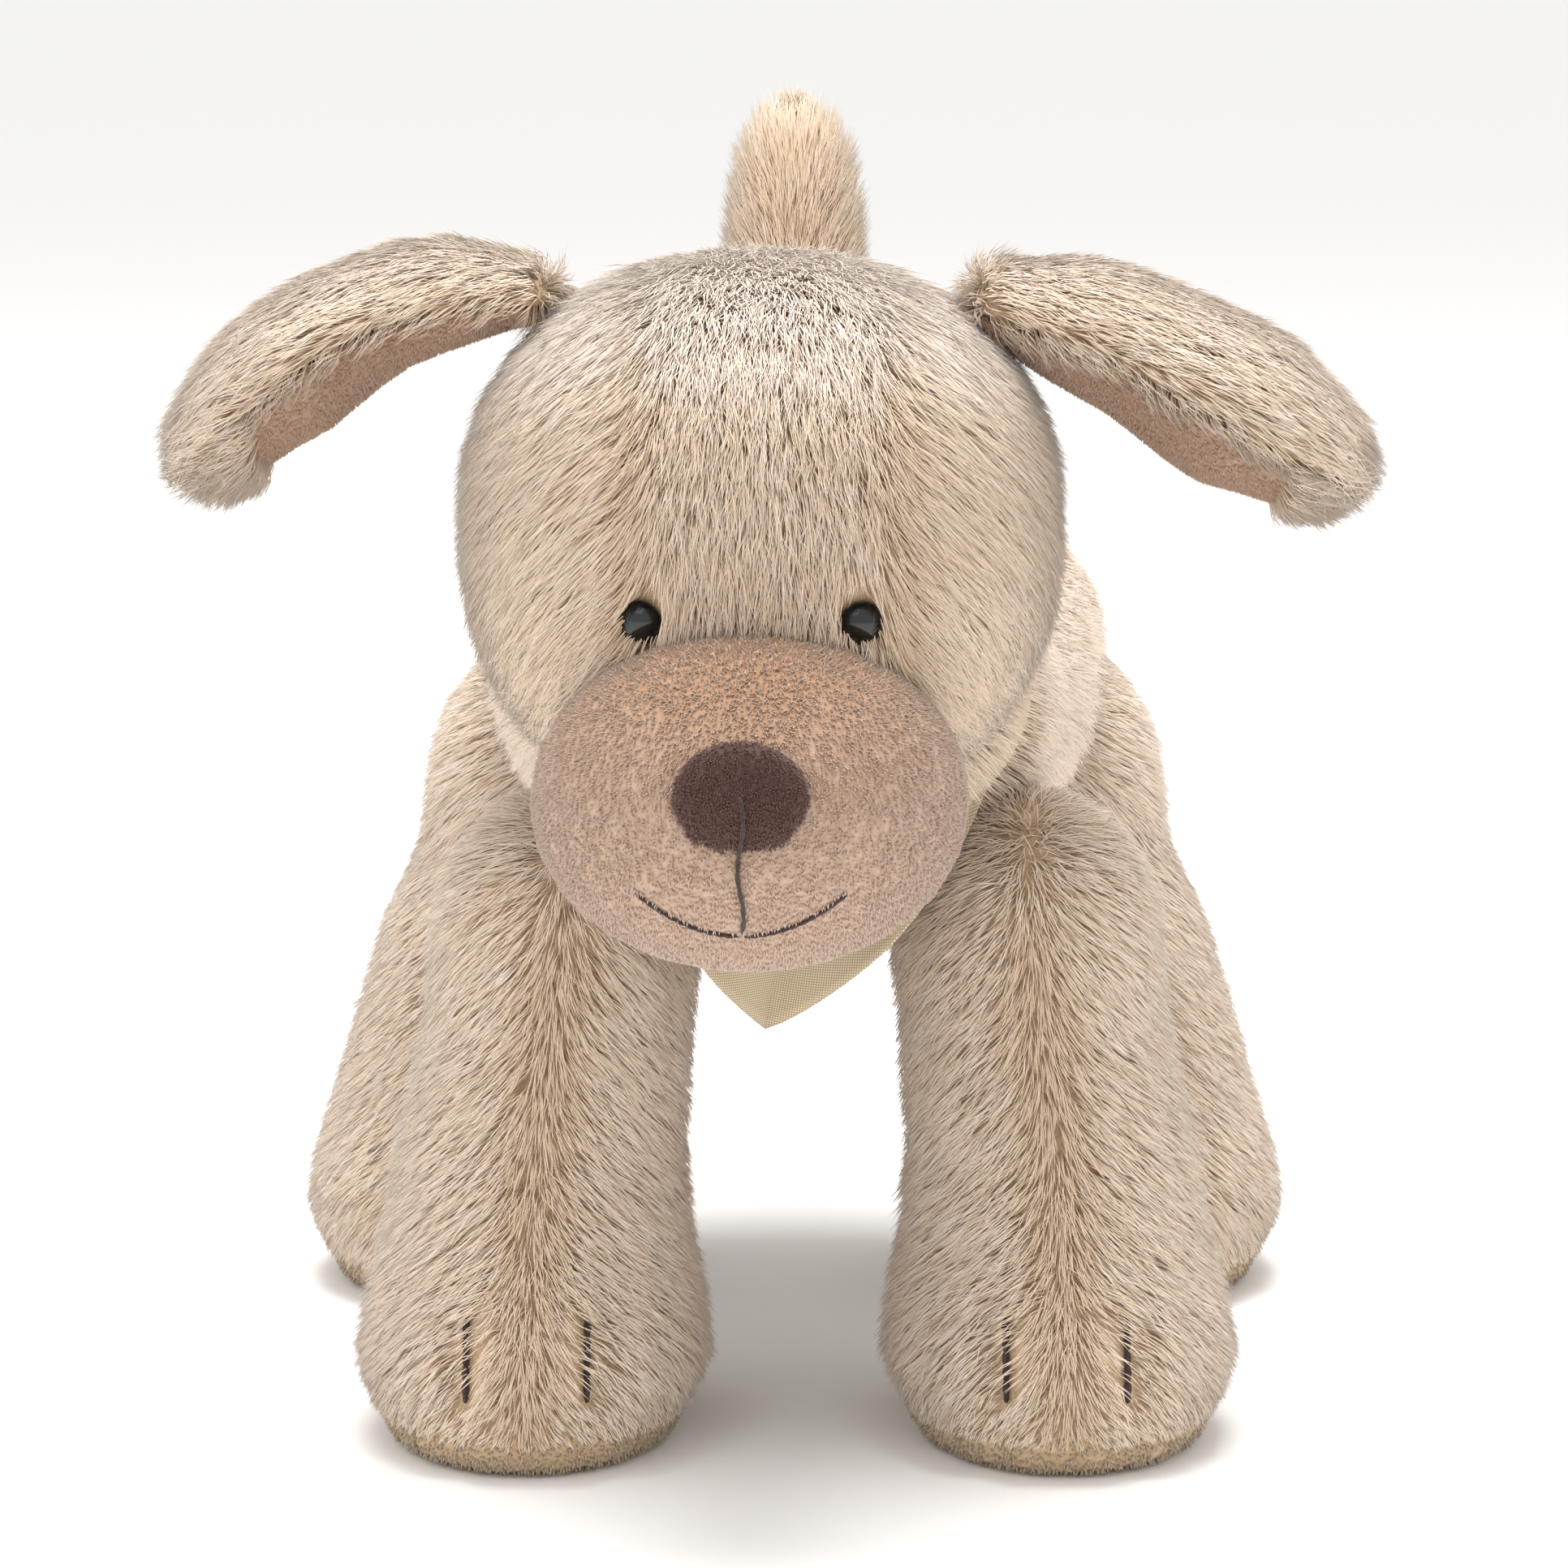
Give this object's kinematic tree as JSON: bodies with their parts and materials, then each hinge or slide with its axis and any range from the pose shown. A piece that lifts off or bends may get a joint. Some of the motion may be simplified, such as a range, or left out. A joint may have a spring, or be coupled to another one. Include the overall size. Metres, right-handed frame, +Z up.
{
  "type": "plush dog",
  "caption": "Standing plush dog with long-pile fur, a short-pile muzzle, plump drooping ears, an upright tail and a neck scarf; head, ears, tail and legs flex at their seams.",
  "frame": {"origin": "on the surface that the dog stands on, under the middle of its box", "axes": "-Y the way the dog looks, +X towards its own left side, +Z up"},
  "size_m": [0.2404, 0.2965, 0.2715],
  "materials": {
    "fur": "long-pile plush with soft tufts",
    "velour": "short-pile velour",
    "nose_velour": "short-pile velour",
    "canvas": "plain-weave cotton",
    "thread": "twisted embroidery thread",
    "fibre_fill": "loose polyester fibre",
    "eye_plastic": "gloss",
    "washer_plastic": "satin"
  },
  "bodies": {
    "torso": {"torso_cover": "fur", "torso_stuffing": "fibre_fill", "scarf": "canvas"},
    "neck": {"neck_stuffing": "fibre_fill"},
    "head": {"head_cover": "fur", "head_stuffing": "fibre_fill", "muzzle_cover": "velour", "muzzle_stuffing": "fibre_fill", "nose_patch": "nose_velour", "nose_stitch": "thread", "smile_stitch_left": "thread", "smile_stitch_right": "thread", "eye_left": "eye_plastic", "eye_washer_left": "washer_plastic", "eye_right": "eye_plastic", "eye_washer_right": "washer_plastic"},
    "ear_left": {"ear_left_fur": "fur", "ear_left_lining": "velour"},
    "ear_right": {"ear_right_fur": "fur", "ear_right_lining": "velour"},
    "tail": {"tail_cover": "fur", "tail_stuffing": "fibre_fill"},
    "leg_front_left": {"leg_front_left_cover": "fur", "leg_front_left_stuffing": "fibre_fill", "leg_front_left_sole": "velour", "leg_front_left_toe_stitch_inner": "thread", "leg_front_left_toe_stitch_outer": "thread"},
    "leg_front_right": {"leg_front_right_cover": "fur", "leg_front_right_stuffing": "fibre_fill", "leg_front_right_sole": "velour", "leg_front_right_toe_stitch_inner": "thread", "leg_front_right_toe_stitch_outer": "thread"},
    "leg_hind_left": {"leg_hind_left_cover": "fur", "leg_hind_left_stuffing": "fibre_fill", "leg_hind_left_sole": "velour"},
    "leg_hind_right": {"leg_hind_right_cover": "fur", "leg_hind_right_stuffing": "fibre_fill", "leg_hind_right_sole": "velour"}
  },
  "joints": [
    {"name": "head_turn", "type": "hinge", "parent": "torso", "child": "neck", "pos_m": [0.00537, -0.00525, 0.15], "axis": [0, 0, 1], "range_deg": [-15, 15], "stiffness_Nm_per_rad": 1},
    {"name": "head_nod", "type": "hinge", "parent": "neck", "child": "head", "pos_m": [0.00537, -0.00525, 0.15], "axis": [-1, 0, 0], "range_deg": [-8, 12], "stiffness_Nm_per_rad": 4},
    {"name": "ear_left_flap", "type": "hinge", "parent": "head", "child": "ear_left", "pos_m": [0.04159, -0.04254, 0.2385], "axis": [-0.0349, -0.9994, 0], "range_deg": [-25, 20], "stiffness_Nm_per_rad": 0.3},
    {"name": "ear_right_flap", "type": "hinge", "parent": "head", "child": "ear_right", "pos_m": [-0.04536, -0.0395, 0.2385], "axis": [0.0349, 0.9994, 0], "range_deg": [-25, 20], "stiffness_Nm_per_rad": 0.3},
    {"name": "tail_wag", "type": "hinge", "parent": "torso", "child": "tail", "pos_m": [0.00537, 0.12575, 0.187], "axis": [0, 1, 0], "range_deg": [-25, 25], "stiffness_Nm_per_rad": 0.3},
    {"name": "leg_front_left_swing", "type": "hinge", "parent": "torso", "child": "leg_front_left", "pos_m": [0.05387, -0.02825, 0.109], "axis": [-1, 0, 0], "range_deg": [-10, 25], "stiffness_Nm_per_rad": 2},
    {"name": "leg_front_right_swing", "type": "hinge", "parent": "torso", "child": "leg_front_right", "pos_m": [-0.04313, -0.02825, 0.109], "axis": [-1, 0, 0], "range_deg": [-10, 25], "stiffness_Nm_per_rad": 2},
    {"name": "leg_hind_left_swing", "type": "hinge", "parent": "torso", "child": "leg_hind_left", "pos_m": [0.05537, 0.08775, 0.121], "axis": [-1, 0, 0], "range_deg": [-22, 12], "stiffness_Nm_per_rad": 2},
    {"name": "leg_hind_right_swing", "type": "hinge", "parent": "torso", "child": "leg_hind_right", "pos_m": [-0.04463, 0.08775, 0.121], "axis": [-1, 0, 0], "range_deg": [-22, 12], "stiffness_Nm_per_rad": 2}
  ]
}
